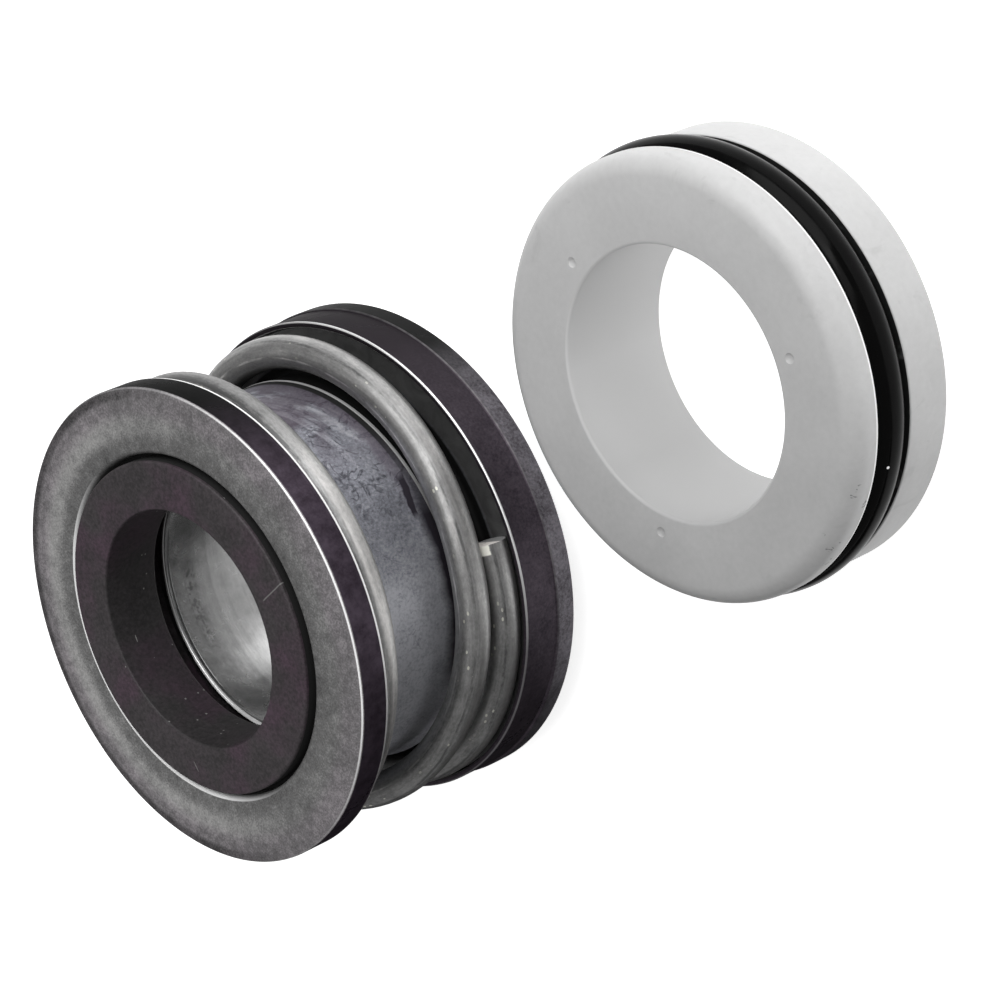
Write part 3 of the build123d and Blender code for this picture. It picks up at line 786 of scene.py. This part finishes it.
# %% Cut ends
sheared = Recipe("sheared_end")
break_marks = sheared.noise(1900, 3, 0.6)
tone = sheared.ramp(break_marks, (0.33, grey(0.12, 0.04)), (0.39, grey(0.9, 0.05)))
radius, angle, height = sheared.around()
torn = sheared.band(height, 0.0050, 0.00695, 0.0001)
tone = sheared.mix(torn, tone, grey(0.3))
sheared.set(Base_Color=tone, Metallic=0.1, Roughness=0.5)
spring.data.materials.append(sheared.material)
cut_faces = 0
for face in spring.data.polygons:
    if len(face.vertices) == 3:
        face.material_index = 1
        cut_faces += 1
print("cut faces", cut_faces)

# %% [markdown]
# The drawn cup: smoky, nearly black purple steel, painted darker still at its top as painted shade, and greyer
# and mottled on its base band, which is painted near black on one side as painted shade. Its inside is painted
# lighter on one side as painted light, and its rim and the step between the bands carry painted highlight
# lines, the step's broken by noise.

# %% Retainer cup's finish
burnished = Recipe("burnished_cup")
radius, angle, height = burnished.around()
marks = burnished.noise(900, 5, 0.65)
grain = burnished.noise(5200, 2, 0.65)
clouds = burnished.noise(260, 3, 0.6)
shade = burnished.total(-1.0, (marks, 1.0), (grain, 1.2), (clouds, 0.8))
tone = burnished.ramp(shade, (0.0, (0.026, 0.021, 0.028, 1)), (1.0, (0.088, 0.072, 0.088, 1)))
# The top of the cup is painted darker still, as painted shade.
tone = burnished.mix(burnished.facing(angle, 85, 40, 40), tone, (0.028, 0.023, 0.028, 1))
base_band = burnished.band(height, 0.0020, 0.0037, 0.00005)
grime_and_shade = burnished.ramp(shade, (0.1, (0.05, 0.045, 0.051, 1)), (0.9, (0.2, 0.188, 0.21, 1)))
# On one side the base band is painted near black as painted shade.
grime_and_shade = burnished.mix(burnished.facing(angle, 60, 22, 20), grime_and_shade, grey(0.015))
tone = burnished.mix(base_band, tone, grime_and_shade)
# The inside is painted lighter on one side as painted light.
inside = burnished.band(radius, 0.0120, 0.01536, 0.00003)
tone = burnished.mix(inside, tone, burnished.ramp(burnished.facing(angle, 70, 50, 50), (0.0, grey(0.2)), (1.0, grey(0.8))))
# The rim line and the step line are painted highlights, strongest on one side; the step line is broken by noise.
rim = burnished.maths("MULTIPLY", burnished.band(height, 0.00635, 0.0066, 0.00003), burnished.band(radius, 0.01564, 0.0158, 0.00002))
rim = burnished.maths("MULTIPLY", rim, burnished.total(0.15, (burnished.facing(angle, 25, 34, 32), 0.85)))
step = burnished.maths("MULTIPLY", burnished.band(height, 0.00374, 0.0038, 0.00003), burnished.facing(angle, 25, 50, 25))
step = burnished.maths("MULTIPLY", step, burnished.ramp(burnished.noise(1800, 2), (0.3, 0.12), (0.7, 0.32)))
tone = burnished.mix(step, tone, grey(0.35))
tone = burnished.mix(rim, tone, grey(0.92))
burnished.set(Base_Color=tone, Metallic=0.7, Roughness=burnished.total(0.46, (rim, -0.16)))
burnished.set(Normal=burnished.bump(grain, 0.25, 0.00001), Specular_Tint=grey(0.3))
burnished.onto(cup)

# %% Carbon
graphite = Recipe("lapped_carbon")
grain = graphite.noise(3000, 3)
graphite.set(Base_Color=graphite.ramp(grain, (0.3, grey(0.022)), (0.7, grey(0.04))), Roughness=0.45)
graphite.set(Normal=graphite.bump(grain, 0.2, 0.00001))
graphite.onto(carbon)

# %% [markdown]
# Ground alumina: a white with a little light going in under the surface, a few grey rubs from the O-ring near
# the flange's edge, and fine pores. Its tone slopes from one side to the other as painted light, the bore is
# painted darker on one side as painted shade, the groove is painted nearly black as painted shade, and the
# flange's edge carries a painted highlight line.

# %% Ceramic
white = Recipe("ground_ceramic")
radius, angle, height = white.around(SEAT_AXIS)
# The tone slopes from one side of the seat to the other as painted light.
light_slope = white.add("ShaderNodeVectorMath", {0: white.places, 1: (11.0, 28.0, 0.0)}, operation="DOT_PRODUCT").outputs["Value"]
shade = white.total(-0.282, (light_slope, 1.0), (white.noise(200, 3), 0.5), (white.noise(2600, 2), 0.28))
tone = white.ramp(shade, (0.0, grey(0.377)), (1.0, grey(0.593)))
# The bore is painted darker on one side as painted shade.
in_bore = white.band(radius, 0.0080, 0.00825, 0.0001)
tone = white.mix(in_bore, tone, white.ramp(white.facing(angle, -125, 35, 45), (0.0, grey(0.61)), (1.0, grey(0.45))))
# The groove is painted nearly black as painted shade.
groove_shade = white.maths("MULTIPLY", white.band(radius, 0.0109, 0.01321, 0.00002), white.band(height, 0.0033, 0.00612, 0.00002))
tone = white.mix(groove_shade, tone, grey(0.01))
smudges = white.ramp(white.noise(420, 4, 0.6, distortion=1.5), (0.6, 0.0), (0.72, 0.2))
tone = white.mix(white.maths("MULTIPLY", smudges, white.band(radius, 0.0118, 0.0133, 0.0006)), tone, grey(0.25))
tone = white.mix(white.dots(700, 0.05, 0.05), tone, grey(0.38))
rubs = white.maths("MULTIPLY", white.threads(1500, 0.04, 3, distortion=1.0), white.dots(1700, 0.45, 0.3))
rubs = white.maths("MULTIPLY", rubs, white.maths("MULTIPLY", white.band(radius, 0.0126, 0.0136, 0.0002), white.facing(angle, -58, 12, 8)))
tone = white.mix(white.maths("MULTIPLY", rubs, white.band(height, 0.0061, 0.0079, 0.0002)), tone, grey(0.16))
# The thin white line on the flange's edge is a painted highlight.
arris_highlight = white.maths("MULTIPLY", white.band(height, 0.0060, 0.00628, 0.00002), white.band(radius, 0.0131, 0.0135, 0.00003))
tone = white.mix(arris_highlight, tone, grey(0.97))
white.set(Base_Color=tone, Roughness=0.42, Subsurface_Weight=0.1, Subsurface_Radius=(0.001, 0.001, 0.001))
white.set(Normal=white.bump(white.noise(2400, 3), 0.12, 0.00001))
white.onto(seat)

# %% [markdown]
# The O-ring is greased, so its highlight is a thin wet streak, broken where dust sits in the grease.

# %% Greased O-ring
greased = Recipe("greased_rubber")
film = greased.noise(700, 3)
tone = greased.mix(greased.dots(800, 0.06, 0.05), grey(0.0015), grey(0.3))
from_speck = greased.add("ShaderNodeVectorMath", {0: greased.places, 1: (0.0454, -0.0094, 0.0053)}, operation="DISTANCE").outputs["Value"]
tone = greased.mix(greased.maths("LESS_THAN", from_speck, 0.00014), tone, grey(0.9))
greased.set(Base_Color=tone, Roughness=greased.ramp(film, (0.35, 0.1), (0.7, 0.24)), Specular_IOR_Level=0.07)
greased.set(Normal=greased.bump(film, 0.25, 0.00004))
greased.onto(oring)

# %% [markdown]
# ## Floor, light and camera
# The photograph is taken on white, and its steel still reflects a dim table with a dark side. One sheet can't
# do both, so there are two. The upper sheet is white paper that glows a little, as on a light table: only the
# camera sees it, and it keeps a faint shadow where the pieces touch it. The table just under it is what the
# pieces reflect. It glows softly, is black at the picture's lower left, where the rings have their dark
# side, and is brighter under the bore, which puts the hot spot on the sleeve.

# %% Floor
clear_selection()
bpy.ops.mesh.primitive_plane_add(size=4.0, location=(0, 0, 0))
floor = bpy.context.object
floor.name = "studio_floor"
paper = Recipe("white_paper")
paper.set(Base_Color=grey(0.9), Roughness=0.9, Emission_Color=grey(1.0), Emission_Strength=0.75)
paper.onto(floor)
floor.visible_glossy = False
floor.visible_diffuse = False
floor.visible_shadow = False
clear_selection()
bpy.ops.mesh.primitive_plane_add(size=4.0, location=(0, 0, -0.00002))
table = bpy.context.object
table.name = "studio_table"
plain = Recipe("pale_table")
toward = plain.add("ShaderNodeVectorMath", {0: plain.places, 1: (-0.4, -0.9, 0.0)}, operation="DOT_PRODUCT").outputs["Value"]
shaded = plain.band(toward, 0.014, 0.110, 0.008)
lit = plain.band(plain.around((0.6, 4.8))[0], -1.0, 0.0014, 0.0020)
glow = plain.total(0.5, (shaded, -0.5), (lit, 2.0))
plain.set(
    Base_Color=plain.mix(shaded, grey(0.85), grey(0.03)), Roughness=0.9, Emission_Color=grey(1.0), Emission_Strength=glow
)
plain.onto(table)
table.visible_camera = False

# %% [markdown]
# The camera stands where the camera fit of the photograph's circles puts it. Its three directions are given
# as columns, because the picture is rolled: the head's axis points down to the left.

# %% Camera
camera_data = bpy.data.cameras.new("camera")
camera_data.sensor_width = 36
camera_data.lens = 126
camera_data.clip_start = 0.01
camera_data.clip_end = 10
camera = bpy.data.objects.new("camera", camera_data)
bpy.context.scene.collection.objects.link(camera)
EYE = Vector((178.641, -8.417, 142.732)) * MM
RIGHT = Vector((0.56911, -0.42722, -0.70256))
UP = Vector((0.29816, 0.9035, -0.30789))
BACK = Vector((0.7663, -0.03425, 0.64157))
turned = Matrix((RIGHT, UP, BACK)).transposed().to_4x4()
camera.matrix_world = Matrix.Translation(EYE) @ turned
bpy.context.scene.camera = camera

# %% [markdown]
# A large softbox stands above the picture's upper left, and a long narrow one over the camera's left side
# lights the faces. Their directions are given as seen in the picture, and their strength as the brightness of
# their face, because that is what a highlight shows. An even grey room lights the rest.

# %% Lights
TARGET = Vector((15, 0, 9)) * MM


def softbox(name, direction, distance, size, brightness):
    """An area light at a direction given in the picture: right, up and towards the camera."""
    across, upward, toward = direction
    aim = (RIGHT * across + UP * upward + BACK * toward).normalized()
    data = bpy.data.lights.new(name, "AREA")
    data.shape = "RECTANGLE"
    data.size, data.size_y = size
    data.energy = brightness * pi * size[0] * size[1]
    lamp = bpy.data.objects.new(name, data)
    bpy.context.scene.collection.objects.link(lamp)
    lamp.location = TARGET + aim * distance
    lamp.rotation_euler = aim.to_track_quat("Z", "Y").to_euler()
    print(name, "stands", [round(c / MM) for c in lamp.location], "watts", round(data.energy, 2))
    return lamp


softbox("key", (-0.35, 0.75, 0.95), 0.6, (0.5, 0.5), 3.0)
softbox("overhead", (-0.41, -0.05, 0.85), 0.6, (0.25, 0.9), 1.6)
world = bpy.data.worlds.new("studio")
bpy.context.scene.world = world
world.use_nodes = True
world.node_tree.nodes["Background"].inputs["Color"].default_value = (1, 1, 1, 1)
world.node_tree.nodes["Background"].inputs["Strength"].default_value = 0.36
bpy.context.scene.view_settings.view_transform = "Standard"
